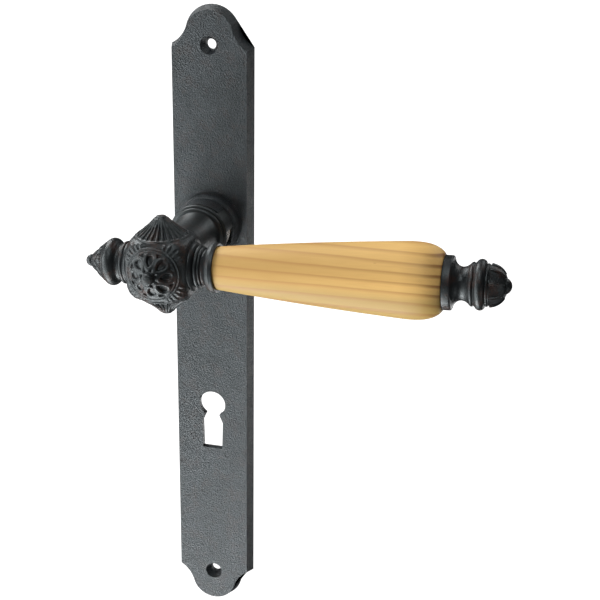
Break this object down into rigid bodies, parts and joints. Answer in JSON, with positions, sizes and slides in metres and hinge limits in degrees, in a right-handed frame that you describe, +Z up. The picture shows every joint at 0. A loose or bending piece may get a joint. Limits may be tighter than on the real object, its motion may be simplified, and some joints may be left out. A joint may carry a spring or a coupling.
{
  "type": "door lever handle",
  "caption": "Cast-iron door lever on a long backplate with a keyhole, a turned wood grip, ornate hub and finials, sprung to return.",
  "frame": {"origin": "where the spindle's axis crosses the door's surface, which the plate's back lies on", "axes": "+X to the right along the lever, +Y into the door along the spindle, +Z up the plate"},
  "size_m": [0.1761, 0.121, 0.2954],
  "materials": {
    "plate_iron": "sand-cast, satin black lacquer",
    "lever_iron": "cast relief, semi-gloss black lacquer",
    "pine": "turned, satin varnish",
    "steel": "bright",
    "bronze": "machined",
    "fibre": "pressed fibre, matte"
  },
  "bodies": {
    "plate": {"backplate": "plate_iron", "neck_bush": "bronze", "spring_cup": "plate_iron", "return_spring": "steel"},
    "lever": {"lever_hub": "lever_iron", "spindle": "steel", "grub_screw": "steel", "tie_rod": "steel", "back_finial": "lever_iron", "ferrule": "lever_iron", "grip_washer": "fibre", "wood_grip": "pine", "lock_washer": "steel", "end_finial": "lever_iron", "thrust_washer": "steel", "retaining_ring": "steel"}
  },
  "joints": [
    {"name": "lever_turn", "type": "hinge", "parent": "plate", "child": "lever", "pos_m": [0, 0, 0], "axis": [0, 1, 0], "range_deg": [0, 35], "stiffness_Nm_per_rad": 0.8, "springref_deg": -25.78, "deforming": ["return_spring"]}
  ]
}
